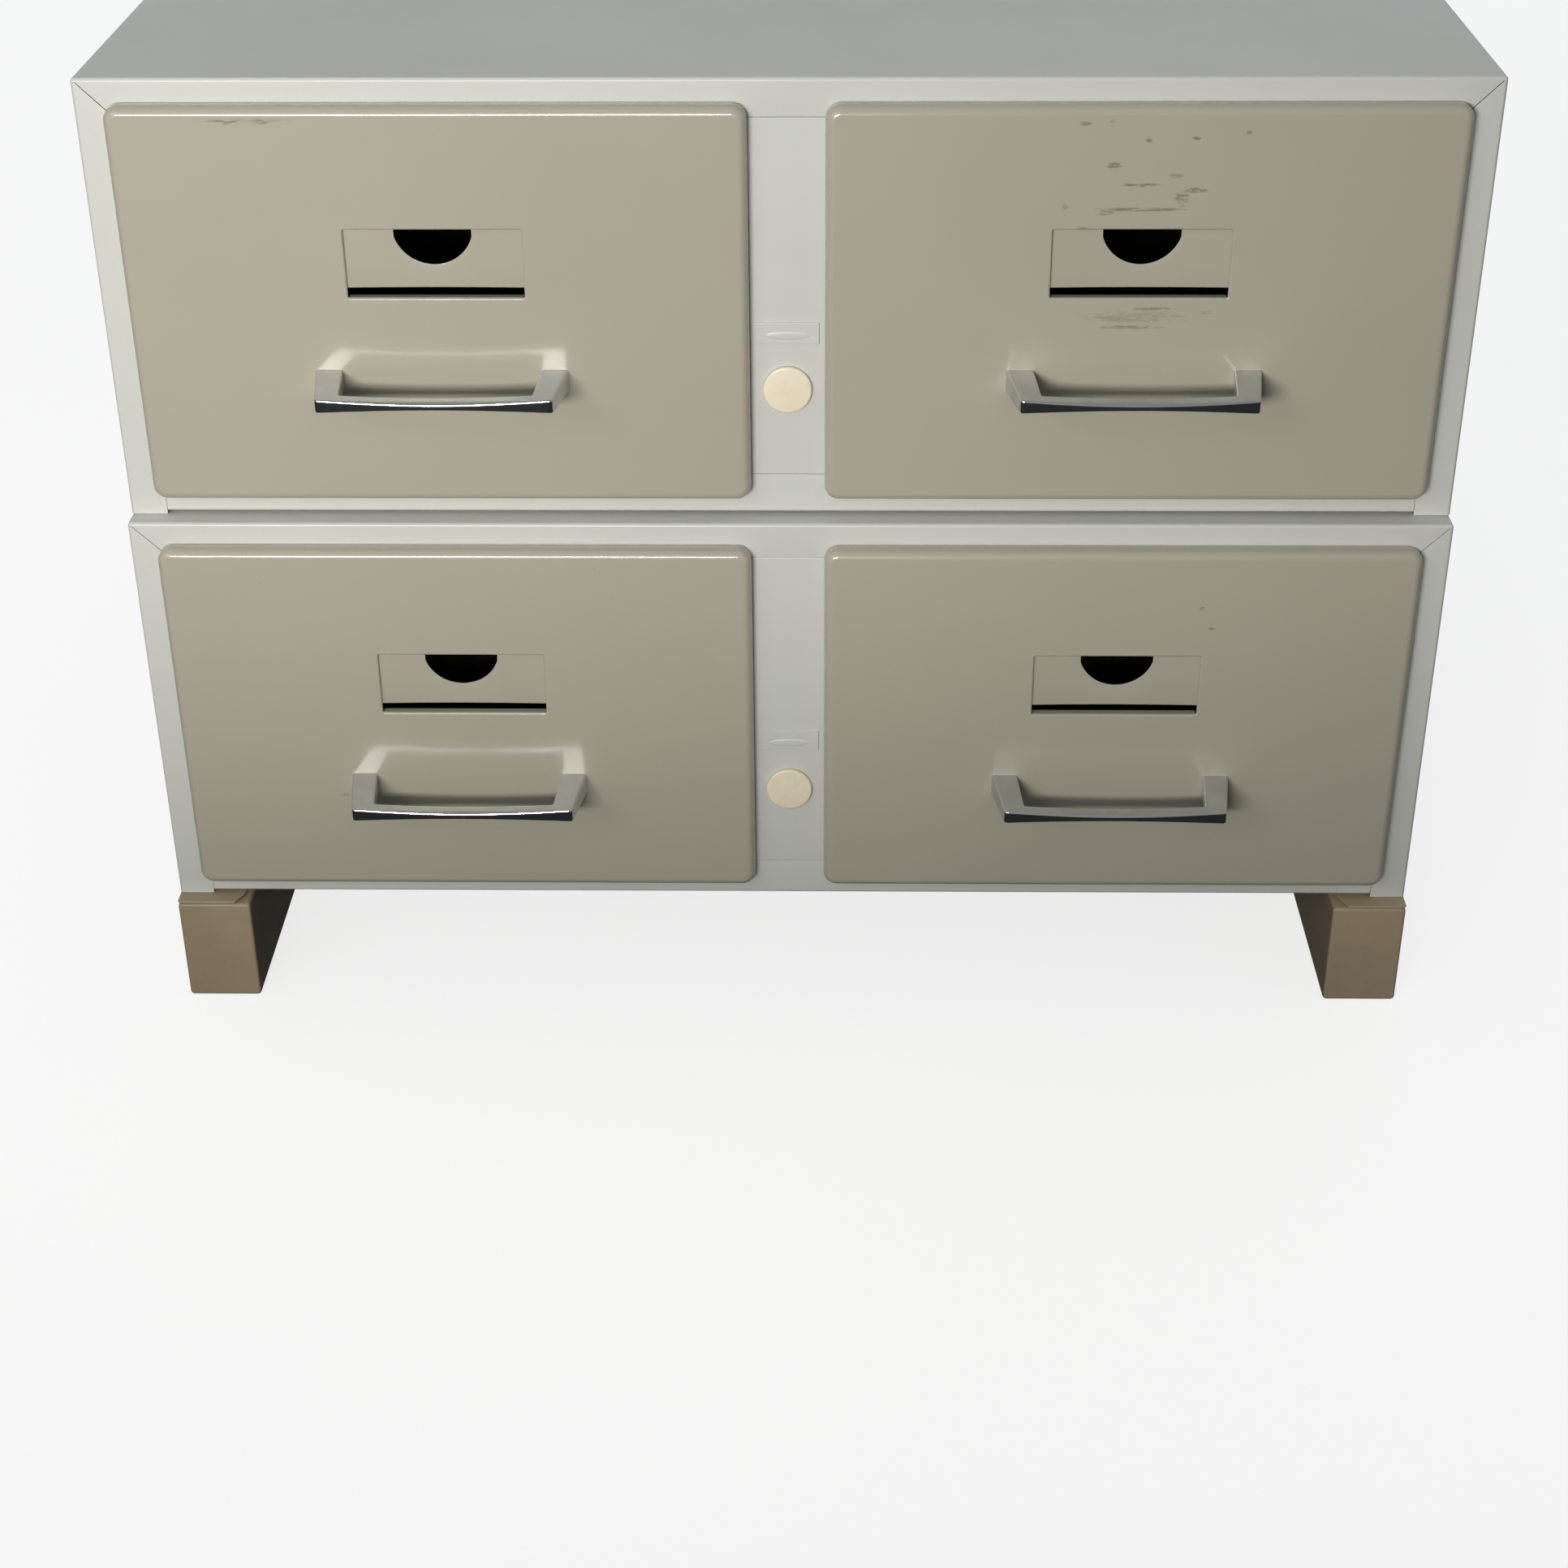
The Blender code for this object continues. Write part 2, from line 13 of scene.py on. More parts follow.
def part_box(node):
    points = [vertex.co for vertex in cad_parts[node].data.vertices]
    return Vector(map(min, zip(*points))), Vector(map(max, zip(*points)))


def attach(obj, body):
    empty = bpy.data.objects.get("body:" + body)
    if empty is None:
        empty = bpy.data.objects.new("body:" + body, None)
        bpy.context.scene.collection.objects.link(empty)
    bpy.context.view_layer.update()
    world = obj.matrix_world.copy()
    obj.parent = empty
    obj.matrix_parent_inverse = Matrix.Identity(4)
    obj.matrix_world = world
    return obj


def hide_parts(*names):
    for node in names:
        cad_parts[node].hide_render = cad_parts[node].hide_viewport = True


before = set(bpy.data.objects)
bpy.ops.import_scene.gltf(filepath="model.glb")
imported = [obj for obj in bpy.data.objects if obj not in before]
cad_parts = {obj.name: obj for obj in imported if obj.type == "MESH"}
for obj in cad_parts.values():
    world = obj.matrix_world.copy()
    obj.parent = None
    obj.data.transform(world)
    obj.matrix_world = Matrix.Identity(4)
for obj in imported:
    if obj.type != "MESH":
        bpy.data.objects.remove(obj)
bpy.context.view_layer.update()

CABINET = "cabinet"
MODULES = ("lower", "upper")
SIDES = {"left": -1, "right": 1}
RAIL_KINDS = ("cabinet", "middle", "drawer")

# sheet metal
SHEET = 0.0012
FOLD = 0.0016              # outer radius of the casing's folds
FLANGE_WIDTH = 0.0165
MITRE_GAP = 0.0004
RAIL_TOP = 0.0196          # top of the bottom rail above the module's bottom
RAIL_END_GAP = 0.0003      # between the bottom rail's ends and the side flanges
BACK_CORNER = 0.0030
BACK_MARGIN = 0.028        # flat border of the back panel
BACK_FIELD_CORNER = 0.012
BACK_PRESS = 0.0018        # depth of the pressed field
BACK_SLOPE = 0.0035        # width of the slope round it

# screws in the back panels
SCREW_RADIUS = 0.0034
SCREW_RISE = 0.0011
SCREW_SIDES = 20
SCREW_COLUMNS = (-0.288, -0.144, 0.0, 0.144, 0.288)
SCREW_FROM_EDGE = 0.011

# nameplate and cap on the centre post
PLATE_INSET = 0.00035      # the plate's face behind the front of its CAD solid
BOSS_HALF = (0.0098, 0.0019)
BOSS_DROP = 0.0010         # the boss's middle below the middle of the plate
CAP_RISE = 0.0026
CAP_RIM = 0.0009
CAP_STEM_INSET = 0.0016

# feet
FOOT_SHEET = 0.0015
FOOT_COVER = 0.0013        # thickness of the cover strip
FOOT_COVER_GAP = 0.0002
FOOT_COVER_INSET = 0.0035
FOOT_MITRE = (0.0040, 0.0075)
FOOT_ROUNDING = 0.0016
FOOT_CORNER = 0.0020

# drawer front and label window, heights above the module's bottom
FRONT_CORNER = 0.0065
FRONT_ROUNDING = 0.0040
WINDOW_SIZE = (0.0766, 0.0304)
WINDOW_BOTTOM = 0.1059
WINDOW_CORNER = 0.0006
WINDOW_LIP = 0.0009
LEDGE_DEPTH = 0.0030
LEDGE_THICKNESS = 0.0008
NOTCH_RADIUS = 0.0175
NOTCH_BELOW_TOP = 0.0048      # the notch's centre below the top of the label plate
PLATE_BOW = 0.0009

# handle
HANDLE_BASE_HALF = 0.0558
HANDLE_GRIP_HALF = 0.0514
HANDLE_LEG = 0.0120
HANDLE_LEG_AT_GRIP = 0.0095
HANDLE_BOW = 0.0005
HANDLE_GRIP_DEPTH = 0.0058
HANDLE_INNER_BOW = 0.0005
HANDLE_BASE_THICKNESS = 0.0098
HANDLE_END_THICKNESS = 0.0060
HANDLE_MID_THICKNESS = 0.0036
HANDLE_TURN = 0.0018          # rounding of the grip's ends, seen from above
HANDLE_SUNK = 0.0004          # how far the legs reach into the front sheet

# tray
TRAY_HALF_WIDTH = 0.119
TRAY_WALL = 0.0010
TRAY_BOTTOM = 0.024
TRAY_TOP = 0.136
TRAY_BEAD = 0.0015            # radius of the rolled rim
TRAY_CORNER = 0.0040
TRAY_HEEL = 0.0025
LABEL_OPENING = (0.080, 0.046)
LABEL_OPENING_BOTTOM = 0.100
LABEL_OPENING_CORNER = 0.003
BACKING_THICKNESS = 0.0010
BACKING_CORNER = 0.005
BACKING_GAP = 0.0004

# paints and softened edges
FRAME_COLOUR = (0.64, 0.65, 0.615)
DRAWER_COLOUR = (0.455, 0.430, 0.345)
INNER_COLOUR = (0.34, 0.325, 0.26)
FOOT_COLOUR = (0.415, 0.335, 0.220)
PANEL_EDGE = 0.0003
RAIL_EDGE = 0.00025
STRIP_EDGE = 0.0004

# camera
CAMERA_PLACE = (0.0182, -1.3559, 0.7507)
CAMERA_LENS = 59.9
CAMERA_PITCH = 30.43          # degrees downwards
CAMERA_YAW = -1.105
CAMERA_ROLL = -0.376

# light
KEY_PLACE = (-0.42, -1.77, 0.62)
KEY_AIM = (-0.98, -0.27, 0.45)
KEY_SIZE = (0.75, 0.22)
KEY_POWER = 21.5
FILL_PLACE = (-1.5, -2.1, 1.5)
FILL_AIM = (-0.05, -0.27, 0.25)
FILL_SIZE = (1.2, 0.8)
FILL_POWER = 7.0
FLAG_TOP = (-0.3, -1.27, 0.42)
FLAG_HALF_WIDTH = 2.5
FLAG_HEIGHT = 1.5
FLOOR_SIZE = 14.0


# ---------------------------------------------------------------- small helpers
def smooth(mesh, angle=32):
    mesh.shade_smooth()
    mesh.set_sharp_from_angle(angle=math.radians(angle))


def add_piece(name, mesh, material, body, replaces=()):
    """A piece of the object, placed by its own vertices, that rides on a CAD body."""
    obj = bpy.data.objects.new(name, mesh)
    bpy.context.scene.collection.objects.link(obj)
    mesh.materials.append(material)
    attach(obj, body)
    if replaces:
        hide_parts(*replaces)
    return obj


def weighted_normals(obj):
    """Keeps the large flat faces flat beside their rounded edges."""
    modifier = obj.modifiers.new("flat faces", "WEIGHTED_NORMAL")
    modifier.keep_sharp = True
    modifier.weight = 90


def solidify(obj, thickness):
    modifier = obj.modifiers.new("sheet", "SOLIDIFY")
    modifier.thickness = thickness
    modifier.offset = -1.0
    modifier.use_even_offset = True


def bevel(obj, width, segments=3, angle=40):
    modifier = obj.modifiers.new("edges", "BEVEL")
    modifier.width = width
    modifier.segments = segments
    modifier.limit_method = "ANGLE"
    modifier.angle_limit = math.radians(angle)
    modifier.harden_normals = False


def mesh_of(name, bm, angle=32):
    mesh = bpy.data.meshes.new(name)
    bm.to_mesh(mesh)
    bm.free()
    smooth(mesh, angle)
    return mesh


def rows_of(bm, rings):
    """The vertices of each ring of points."""
    return [[bm.verts.new(point) for point in ring] for ring in rings]


def skin(bm, rows, closed=True):
    """Quads between neighbouring rows of equally many vertices."""
    for a, b in zip(rows, rows[1:]):
        count = len(a)
        for i in range(count if closed else count - 1):
            j = (i + 1) % count
            bm.faces.new((a[i], a[j], b[j], b[i]))


def loft(name, rings, closed_rings=True, closed_loop=False, caps=False, outward=None, angle=32):
    """Skins rings of equally many points; outward says which way the first face looks."""
    bm = bmesh.new()
    rows = rows_of(bm, rings)
    skin(bm, rows + rows[:1] if closed_loop else rows, closed_rings)
    if caps:
        bm.faces.new(rows[0])
        bm.faces.new(rows[-1])
    bmesh.ops.remove_doubles(bm, verts=bm.verts, dist=1e-7)
    bmesh.ops.recalc_face_normals(bm, faces=bm.faces)
    bm.faces.ensure_lookup_table()
    if outward is not None and bm.faces[0].normal.dot(Vector(outward)) < 0:
        bmesh.ops.reverse_faces(bm, faces=bm.faces)
    return mesh_of(name, bm, angle)


def quarter(steps):
    """Angles from 0 to 90 degrees."""
    return [math.radians(90 * i / steps) for i in range(steps + 1)]


def rounded_rectangle(half_width, half_height, radius, steps=8):
    """Points of a rounded rectangle about the origin, anticlockwise from +X."""
    points = []
    for turn, (sx, sy) in enumerate(((1, 1), (-1, 1), (-1, -1), (1, -1))):
        for angle in quarter(steps):
            angle += turn * math.pi / 2
            points.append((sx * (half_width - radius) + radius * math.cos(angle),
                           sy * (half_height - radius) + radius * math.sin(angle)))
    return points


def rolled_edge(radius, y, steps, inset=0.0):
    """Insets and depths along a quarter-round edge, from the side of a sheet to its face at depth y."""
    return [(inset + radius * (1 - math.cos(a)), y + radius * (1 - math.sin(a))) for a in quarter(steps)]


def outline_at(outline, x0, y, z0):
    """An outline in x and z, placed about (x0, z0) at depth y."""
    return [Vector((x0 + x, y, z0 + z)) for x, z in outline]


def ellipse(half_width, half_height, count):
    """Points of an ellipse about the origin."""
    turns = [2 * math.pi * i / count for i in range(count)]
    return [(half_width * math.cos(turn), half_height * math.sin(turn)) for turn in turns]


def slab(name, outline, low, high, axis):
    """A closed outline, in the order of the two other axes, extruded along axis."""
    rings = []
    for level in (low, high):
        ring = []
        for point in outline:
            place = list(point)
            place.insert(axis, level)
            ring.append(Vector(place))
        rings.append(ring)
    return loft(name, rings, caps=True)


# ---------------------------------------------------------------- node materials
def node(tree, kind, settings=(), **sockets):
    """A shader node: settings are its attributes, sockets its inputs by name or, as _0 and _1, by number.

    An underscore inside a socket's name stands for a space."""
    made = tree.nodes.new("ShaderNode" + kind)
    for key, value in dict(settings).items():
        setattr(made, key, value)
    for key, value in sockets.items():
        name = int(key[1:]) if key[0] == "_" and key[1:].isdigit() else key.replace("_", " ")
        if isinstance(value, bpy.types.NodeSocket):
            tree.links.new(value, made.inputs[name])
        else:
            made.inputs[name].default_value = value
    return made


def new_material(name):
    """A material, its node tree and its main shader."""
    material = bpy.data.materials.new(name)
    material.use_nodes = True
    shader = material.node_tree.nodes["Principled BSDF"]
    return material, material.node_tree, shader


def noise(tree, coords, scale, detail=2.0, stretch=(1, 1, 1), roughness=0.5):
    if stretch != (1, 1, 1):
        coords = node(tree, "Mapping", Vector=coords, Scale=stretch).outputs[0]
    made = node(tree, "TexNoise", Vector=coords, Scale=scale, Detail=detail, Roughness=roughness)
    return made.outputs["Fac"]


def ramp(tree, value, low, high, out_low=0.0, out_high=1.0):
    made = node(tree, "MapRange", {"interpolation_type": "SMOOTHSTEP", "clamp": True})
    tree.links.new(value, made.inputs["Value"])
    limits = {"From Min": low, "From Max": high, "To Min": out_low, "To Max": out_high}
    for key, number in limits.items():
        made.inputs[key].default_value = number
    return made.outputs["Result"]


def maths(tree, operation, a, b=0.0):
    return node(tree, "Math", {"operation": operation}, _0=a, _1=b).outputs[0]


def parts_of(tree, vector):
    """The three numbers of a vector."""
    return node(tree, "SeparateXYZ", Vector=vector).outputs


def mix(tree, factor, a, b, blend="MIX"):
    made = tree.nodes.new("ShaderNodeMix")
    made.data_type = "RGBA"
    made.blend_type = blend
    for index, value in ((0, factor), (6, a), (7, b)):
        if isinstance(value, bpy.types.NodeSocket):
            tree.links.new(value, made.inputs[index])
        else:
            made.inputs[index].default_value = value if index == 0 else (*value, 1.0)
    return made.outputs[2]


def object_coords(tree):
    return tree.nodes.new("ShaderNodeTexCoord").outputs["Object"]


def bump(tree, shader, height, strength, distance):
    made = node(tree, "Bump", Height=height, Strength=strength, Distance=distance)
    tree.links.new(made.outputs[0], shader.inputs["Normal"])


def smudge(tree, coords, centre, half_size):
    """How much of a patch of fine sideways scratches lies at a point of a surface that faces -Y."""
    x, _, z = parts_of(tree, coords)
    dx = maths(tree, "DIVIDE", maths(tree, "SUBTRACT", x, centre[0]), half_size[0])
    dz = maths(tree, "DIVIDE", maths(tree, "SUBTRACT", z, centre[1]), half_size[1])
    reach = maths(tree, "ADD", maths(tree, "MULTIPLY", dx, dx), maths(tree, "MULTIPLY", dz, dz))
    inside = ramp(tree, reach, 0.1, 1.0, 1.0, 0.0)
    scratches = noise(tree, coords, 950, 5.0, (0.24, 1, 1), 0.65)
    ragged = maths(tree, "ADD", scratches, maths(tree, "MULTIPLY", inside, 0.20))
    return maths(tree, "MULTIPLY", ramp(tree, ragged, 0.57, 0.74), maths(tree, "SQRT", inside))


def enamel(name, colour, roughness, marks=(), grime=0.03, mottle=0.012, speck=0.30, sides=1.0, coat=0.0):
    """Stove enamel on steel: faint orange peel, slow changes of tone and gloss, specks, and marks of use.

    marks are (x, z, half width, half height, darkness) on the front of the piece, and sides is how much
    of its colour is left on surfaces that face sideways, which is a painted shade on those surfaces."""
    material, tree, shader = new_material(name)
    coords = object_coords(tree)
    darker = tuple(c * (1 - mottle) for c in colour)
    lighter = tuple(min(c * (1 + mottle), 1.0) for c in colour)
    tone = ramp(tree, noise(tree, coords, 11, 3.0), 0.3, 0.7)
    painted = mix(tree, tone, darker, lighter)
    warm = tuple(c * k for c, k in zip(colour, (1.02, 1.0, 0.98)))
    painted = mix(tree, ramp(tree, noise(tree, coords, 17, 2.0), 0.35, 0.75, 0.0, 0.4), painted, warm)
    dust = ramp(tree, noise(tree, coords, 75, 6.0, roughness=0.7), 0.48, 0.90, 0.0, grime)
    painted = mix(tree, dust, painted, tuple(c * 0.45 for c in colour))
    cells = node(tree, "TexVoronoi", Vector=coords, Scale=46.0)
    dot = ramp(tree, cells.outputs["Distance"], 0.016, 0.030, 1.0, 0.0)
    cell_number = node(tree, "SeparateColor", Color=cells.outputs["Color"]).outputs[0]
    chosen = maths(tree, "GREATER_THAN", cell_number, 0.86)
    specks = maths(tree, "MULTIPLY", maths(tree, "MULTIPLY", dot, chosen), speck)
    painted = mix(tree, specks, painted, (0.09, 0.07, 0.05))
    for x, z, half_width, half_height, darkness in marks:
        worn = smudge(tree, coords, (x, z), (half_width, half_height))
        painted = mix(tree, maths(tree, "MULTIPLY", worn, darkness), painted, (0.13, 0.10, 0.08))
    # painted shade: surfaces that face sideways keep only the share sides of their colour
    if sides < 1.0:
        normal = tree.nodes.new("ShaderNodeNewGeometry").outputs["Normal"]
        sideways = maths(tree, "ABSOLUTE", parts_of(tree, normal)[0])
        left = ramp(tree, sideways, 0.5, 0.9, 1.0, sides)
        side_shade = node(tree, "CombineColor", Red=left, Green=left, Blue=left).outputs[0]
        painted = mix(tree, 1.0, painted, side_shade, "MULTIPLY")
    tree.links.new(painted, shader.inputs["Base Color"])
    patches = noise(tree, coords, 8, 5.0, roughness=0.6)
    gloss = ramp(tree, patches, 0.3, 0.75, roughness - 0.04, roughness + 0.06)
    gloss = maths(tree, "ADD", gloss, maths(tree, "MULTIPLY", dust, 1.2))
    tree.links.new(gloss, shader.inputs["Roughness"])
    coarse_peel = maths(tree, "MULTIPLY", noise(tree, coords, 90, 2.0), 0.8)
    peel = maths(tree, "ADD", noise(tree, coords, 620, 2.0), coarse_peel)
    bump(tree, shader, peel, 0.22, 0.00006)
    shader.inputs["IOR"].default_value = 1.5
    shader.inputs["Coat Weight"].default_value = coat
    shader.inputs["Coat Roughness"].default_value = 0.07
    return material


def satin_chrome():
    """Cast metal: matt plated on top and at the sides, polished where it faces the front."""
    material, tree, shader = new_material("satin_chrome")
    coords = object_coords(tree)
    normal = tree.nodes.new("ShaderNodeNewGeometry").outputs["Normal"]
    polished = ramp(tree, parts_of(tree, normal)[1], -0.80, -0.35, 1.0, 0.0)
    grain = noise(tree, coords, 900, 3.0, (0.25, 1.0, 1.0))
    cloud = noise(tree, coords, 60, 4.0)
    matt = ramp(tree, cloud, 0.3, 0.7, 0.36, 0.46)
    matt_share = maths(tree, "MULTIPLY", matt, maths(tree, "SUBTRACT", 1.0, polished))
    rough = maths(tree, "ADD", matt_share, maths(tree, "MULTIPLY", polished, 0.15))
    tree.links.new(rough, shader.inputs["Roughness"])
    plated = mix(tree, ramp(tree, cloud, 0.35, 0.7), (0.66, 0.67, 0.69), (0.76, 0.77, 0.78))
    plated = mix(tree, polished, plated, (0.78, 0.79, 0.80))
    pits = ramp(tree, noise(tree, coords, 1500, 2.0), 0.70, 0.80, 0.0, 0.5)
    plated = mix(tree, pits, plated, (0.20, 0.20, 0.20))
    tree.links.new(plated, shader.inputs["Base Color"])
    shader.inputs["Metallic"].default_value = 1.0
    bump(tree, shader, grain, 0.12, 0.00003)
    return material


def zinc_plate():
    """Rolled steel strip with a dull zinc plating and the drag marks of the balls."""
    material, tree, shader = new_material("zinc_plate")
    coords = object_coords(tree)
    drag = noise(tree, coords, 300, 4.0, (1.0, 0.02, 1.0))
    bloom = noise(tree, coords, 40, 5.0, roughness=0.7)
    metal = mix(tree, ramp(tree, bloom, 0.3, 0.7), (0.42, 0.43, 0.45), (0.60, 0.61, 0.62))
    metal = mix(tree, ramp(tree, drag, 0.58, 0.70, 0.0, 0.5), metal, (0.26, 0.26, 0.26))
    tree.links.new(metal, shader.inputs["Base Color"])
    tree.links.new(ramp(tree, bloom, 0.3, 0.7, 0.30, 0.46), shader.inputs["Roughness"])
    shader.inputs["Metallic"].default_value = 1.0
    bump(tree, shader, drag, 0.2, 0.00004)
    return material


def ivory_plastic():
    """Moulded cap, a little yellowed, with a few dust pits."""
    material, tree, shader = new_material("ivory_plastic")
    coords = object_coords(tree)
    tone = ramp(tree, noise(tree, coords, 90, 3.0), 0.3, 0.7)
    aged = mix(tree, tone, (0.88, 0.79, 0.59), (0.92, 0.84, 0.66))
    pits = ramp(tree, noise(tree, coords, 520, 1.0), 0.74, 0.80, 0.0, 0.35)
    aged = mix(tree, pits, aged, (0.45, 0.33, 0.20))
    tree.links.new(aged, shader.inputs["Base Color"])
    gloss = ramp(tree, noise(tree, coords, 200, 3.0), 0.3, 0.7, 0.26, 0.36)
    tree.links.new(gloss, shader.inputs["Roughness"])
    shader.inputs["Subsurface Weight"].default_value = 0.12
    shader.inputs["Subsurface Radius"].default_value = (0.002, 0.0014, 0.0008)
    bump(tree, shader, noise(tree, coords, 700, 2.0), 0.10, 0.00004)
    return material


# ---------------------------------------------------------------- casing pieces
def casing(module, material):
    """One sheet folded round the sides and the top, its front flanges mitred at the top corners."""
    node_name = f"{module}_casing"
    low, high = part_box(node_name)
    left, right, top = low.x, high.x, high.z
    slit = top - FOLD - MITRE_GAP
    rings = []
    for inset, y in [(0.0, high.y)] + rolled_edge(FOLD, low.y, 6):
        radius = FOLD - inset
        turn = [(radius * math.cos(a), top - FOLD + radius * math.sin(a)) for a in quarter(6)]
        ring = [Vector((left + inset, y, low.z)), Vector((left + inset, y, slit))]
        ring += [Vector((left + FOLD - x, y, z)) for x, z in turn]
        ring.append(Vector((left + FOLD + MITRE_GAP, y, top - inset)))
        ring.append(Vector((right - FOLD - MITRE_GAP, y, top - inset)))
        ring += [Vector((right - FOLD + x, y, z)) for x, z in reversed(turn)]
        ring += [Vector((right - inset, y, slit)), Vector((right - inset, y, low.z))]
        rings.append(ring)
    bm = bmesh.new()
    rows = rows_of(bm, rings)
    skin(bm, rows, closed=False)
    front = rows[-1]
    half = len(front) // 2
    lips = []
    for foot, corner, side, inward in ((front[0], front[1], left, 1), (front[-1], front[-2], right, -1)):
        lip = side + inward * FLANGE_WIDTH
        lip_low = bm.verts.new((lip, low.y, low.z))
        lip_high = bm.verts.new((lip, low.y, top - FLANGE_WIDTH - MITRE_GAP))
        bm.faces.new((foot, corner, lip_high, lip_low))
        lips.append(bm.verts.new((lip + inward * MITRE_GAP, low.y, top - FLANGE_WIDTH)))
    bm.faces.new((front[half - 1], front[half], lips[1], lips[0]))
    bmesh.ops.remove_doubles(bm, verts=bm.verts, dist=1e-6)
    bmesh.ops.recalc_face_normals(bm, faces=bm.faces)
    widest = max(bm.faces, key=lambda face: face.calc_area())
    if widest.normal.z < 0:
        bmesh.ops.reverse_faces(bm, faces=bm.faces)
    mesh = mesh_of(node_name, bm)
    obj = add_piece(f"{node_name}_sheet", mesh, material, CABINET, [node_name])
    solidify(obj, SHEET)
    weighted_normals(obj)


def bottom_panel(module, material):
    """Floor sheet with its front edge folded up as the bottom rail."""
    node_name = f"{module}_bottom_panel"
    low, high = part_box(node_name)
    casing_low, casing_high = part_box(f"{module}_casing")
    rail = casing_high.x - FLANGE_WIDTH - RAIL_END_GAP
    fold_end = low.y + FOLD + 0.0004
    profile = [(low.y, casing_low.z + RAIL_TOP)]
    profile += [(low.y + inset, z) for inset, z in rolled_edge(FOLD, low.z, 6)]
    profile += [(fold_end, low.z)]
    bm = bmesh.new()
    rows = rows_of(bm, [[Vector((x, y, z)) for y, z in profile] for x in (-rail, rail)])
    skin(bm, rows, closed=False)
    floor = [(high.x, fold_end), (high.x, high.y), (low.x, high.y), (low.x, fold_end)]
    corners = [rows[0][-1], rows[1][-1]] + [bm.verts.new((x, y, low.z)) for x, y in floor]
    bm.faces.new(corners)
    bmesh.ops.recalc_face_normals(bm, faces=bm.faces)
    bm.faces.ensure_lookup_table()
    if bm.faces[0].normal.y > 0:
        bmesh.ops.reverse_faces(bm, faces=bm.faces)
    mesh = mesh_of(node_name, bm)
    obj = add_piece(f"{node_name}_sheet", mesh, material, CABINET, [node_name])
    solidify(obj, SHEET)
    weighted_normals(obj)


def back_panel(module, material):
    """Pan that closes the back, with a shallow pressed field."""
    node_name = f"{module}_back_panel"
    low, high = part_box(node_name)
    centre, half = (low + high) / 2, (high - low) / 2
    steps = [(0.0, low.y)]
    steps += [(inset, high.y - depth) for inset, depth in rolled_edge(FOLD, 0.0, 5)]
    for t in (0.0, 0.25, 0.5, 0.75, 1.0):
        steps.append((BACK_MARGIN + BACK_SLOPE * t, high.y - BACK_PRESS * (3 * t * t - 2 * t ** 3)))
    rings = []
    for inset, y in steps:
        radius = max(BACK_CORNER - inset, 0.0001) if inset < BACK_MARGIN else BACK_FIELD_CORNER
        outline = rounded_rectangle(half.x - inset, half.z - inset, radius, 5)
        rings.append(outline_at(outline, centre.x, y, centre.z))
    bm = bmesh.new()
    rows = rows_of(bm, rings)
    skin(bm, rows)
    field = bm.faces.new(rows[-1])
    bmesh.ops.recalc_face_normals(bm, faces=bm.faces)
    if field.normal.y < 0:
        bmesh.ops.reverse_faces(bm, faces=bm.faces)
    mesh = mesh_of(node_name, bm)
    obj = add_piece(f"{node_name}_pan", mesh, material, CABINET, [node_name])
    solidify(obj, SHEET)
    weighted_normals(obj)


def screw_mesh(name, radius, rise):
    """Domed screw head with a round recess, its head towards +Y."""
    rings = []
    for a in quarter(5)[:-1]:
        r = radius * math.cos(a) ** 0.6
        rings.append(outline_at(ellipse(r, r, SCREW_SIDES), 0.0, rise * math.sin(a), 0.0))
    bm = bmesh.new()
    rows = rows_of(bm, rings)
    skin(bm, rows)
    top = bm.faces.new(rows[-1])
    bmesh.ops.recalc_face_normals(bm, faces=bm.faces)
    bmesh.ops.inset_individual(bm, faces=[top], thickness=radius * 0.18)
    bmesh.ops.translate(bm, verts=top.verts, vec=(0, -rise * 0.5, 0))
    return mesh_of(name, bm)


def back_screws(module, material):
    """Two rows of screws that hold the back panel; they share one mesh."""
    low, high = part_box(f"{module}_back_panel")
    mesh = screw_mesh("screw_head", SCREW_RADIUS, SCREW_RISE)
    mesh.materials.append(material)
    heights = (low.z + SCREW_FROM_EDGE, high.z - SCREW_FROM_EDGE)
    places = [(x, z) for x in SCREW_COLUMNS for z in heights]
    for number, (x, z) in enumerate(places, 1):
        obj = bpy.data.objects.new(f"{module}_back_screw_{number}", mesh)
        bpy.context.scene.collection.objects.link(obj)
        obj.location = (x, high.y - 0.0001, z)
        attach(obj, CABINET)


def nameplate(module, material):
    """Blank raised plate, softened by the paint over it, with a plain boss where a name would be."""
    node_name = f"{module}_nameplate"
    low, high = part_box(node_name)
    centre, half = (low + high) / 2, (high - low) / 2
    plate = low.y + PLATE_INSET
    steps = [(0.0, high.y + 0.0003), (0.0, plate + 0.0003), (0.00010, plate + 0.00009), (0.0004, plate)]
    rings = []
    for inset, y in steps:
        outline = rounded_rectangle(half.x - inset, half.z - inset, 0.0006, 4)
        rings.append(outline_at(outline, centre.x, y, centre.z))
    mesh = loft(node_name, rings, caps=True)
    obj = add_piece(f"{node_name}_blank", mesh, material, CABINET, [node_name])
    weighted_normals(obj)
    rings = []
    for scale, rise in ((1.0, -0.0001), (0.97, 0.00008), (0.86, 0.00022), (0.6, 0.0003)):
        outline = ellipse(BOSS_HALF[0] * scale, BOSS_HALF[1] * scale, 40)
        rings.append(outline_at(outline, centre.x, plate - rise, centre.z - BOSS_DROP))
    mesh = loft(f"{node_name}_boss", rings, caps=True)
    add_piece(f"{node_name}_boss", mesh, material, CABINET)


